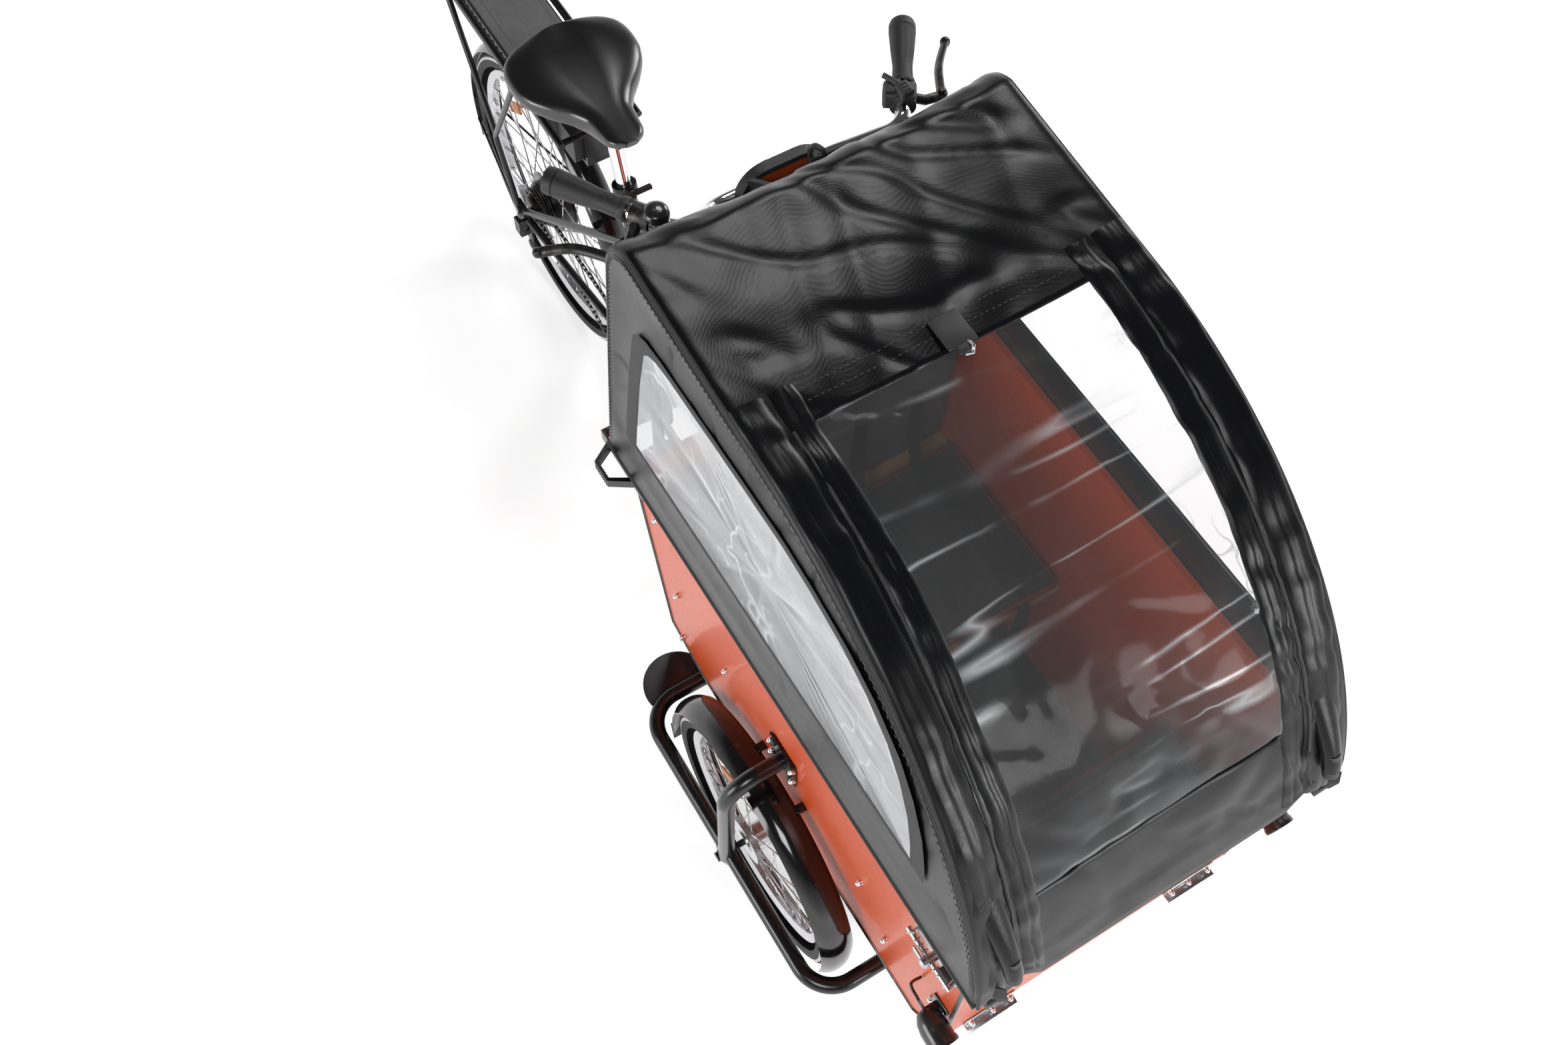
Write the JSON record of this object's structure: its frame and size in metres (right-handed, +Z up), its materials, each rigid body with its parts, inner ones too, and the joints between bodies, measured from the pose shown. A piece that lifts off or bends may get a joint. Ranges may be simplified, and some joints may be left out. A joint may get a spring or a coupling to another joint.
{
  "type": "electric cargo bike",
  "caption": "Front-box electric cargo trike with a rain tent over a benched box, two steered front wheels, covered wheel guards and a rear frame with carrier battery.",
  "frame": {"origin": "under the middle of the vehicle, on the ground between the wheels", "axes": "+X forward along the vehicle, +Y to the rider's left, +Z up"},
  "size_m": [2.2066, 0.816, 1.3919],
  "materials": {
    "orange_panel": "satin",
    "black_paint": "satin",
    "gloss_black": "gloss",
    "black_plastic": "matte",
    "battery_case": "matte",
    "chrome": "polished",
    "silver": "brushed",
    "steel": "brushed",
    "black_steel": "satin",
    "tyre": "matte",
    "grip_rubber": "matte",
    "tent_fabric": "satin",
    "clear_sheet": "gloss",
    "saddle_skin": "satin",
    "cushion_cover": "matte",
    "bench_wood": "satin",
    "floor_mat": "matte",
    "lamp_body": "gloss",
    "red_lens": "gloss"
  },
  "bodies": {
    "rear_frame": {"main_frame": "black_paint", "rear_axle": "steel", "seat_post": "chrome", "seat_clamp": "black_steel", "saddle": "saddle_skin", "rear_carrier": "black_paint", "battery": "battery_case", "battery_dock": "black_plastic", "rear_light": "red_lens", "rear_fender": "gloss_black", "chain": "black_steel", "derailleur": "black_steel"},
    "rear_wheel": {"rear_tyre": "tyre", "rear_rim": "silver", "rear_hub_motor": "black_paint", "cassette": "black_steel"},
    "crank": {"crank_set": "steel"},
    "left_pedal": {"pedal_left": "black_plastic"},
    "right_pedal": {"pedal_right": "black_plastic"},
    "left_wheel": {"front_tyre_left": "tyre", "front_wheel_left": "silver"},
    "right_wheel": {"front_tyre_right": "tyre", "front_wheel_right": "silver"},
    "front_unit": {"backboard": "orange_panel", "bar_controls": "black_plastic", "bell": "lamp_body", "bench_boards": "bench_wood", "bow_plugs": "black_plastic", "box_floor": "floor_mat", "box_front": "orange_panel", "box_front_lower": "orange_panel", "box_rear": "orange_panel", "box_rear_lower": "orange_panel", "box_side_left": "orange_panel", "box_side_right": "orange_panel", "brake_levers": "black_steel", "cushion_back": "cushion_cover", "cushion_front": "cushion_cover", "cushion_rear": "cushion_cover", "front_carriage": "black_paint", "front_fenders": "gloss_black", "front_window": "clear_sheet", "grips": "grip_rubber", "handlebar": "chrome", "headlights": "lamp_body", "latches": "steel", "rear_bracket": "black_paint", "rear_handle": "black_plastic", "side_windows": "clear_sheet", "tent_bows": "black_paint", "tent_rear": "tent_fabric", "tent_roof": "tent_fabric", "tent_side_left": "tent_fabric", "tent_side_right": "tent_fabric", "wheel_guard_left": "black_paint", "wheel_guard_right": "black_paint"}
  },
  "joints": [
    {"name": "steering", "type": "hinge", "parent": "rear_frame", "child": "front_unit", "pos_m": [0.1321, 0, 0.35], "axis": [0, 0, 1], "range_deg": [-35, 35]},
    {"name": "rear_wheel_spin", "type": "hinge", "parent": "rear_frame", "child": "rear_wheel", "pos_m": [-0.7629, 0, 0.327], "axis": [0, 1, 0], "continuous": true},
    {"name": "crank_spin", "type": "hinge", "parent": "rear_frame", "child": "crank", "pos_m": [-0.2839, 0, 0.29], "axis": [0, 1, 0], "continuous": true},
    {"name": "left_pedal_spin", "type": "hinge", "parent": "crank", "child": "left_pedal", "pos_m": [-0.4539, 0.119, 0.29], "axis": [0, 1, 0], "continuous": true},
    {"name": "right_pedal_spin", "type": "hinge", "parent": "crank", "child": "right_pedal", "pos_m": [-0.1139, -0.119, 0.29], "axis": [0, 1, 0], "continuous": true},
    {"name": "left_wheel_spin", "type": "hinge", "parent": "front_unit", "child": "left_wheel", "pos_m": [0.6021, 0.322, 0.252], "axis": [0, 1, 0], "continuous": true},
    {"name": "right_wheel_spin", "type": "hinge", "parent": "front_unit", "child": "right_wheel", "pos_m": [0.6021, -0.322, 0.252], "axis": [0, 1, 0], "continuous": true}
  ]
}
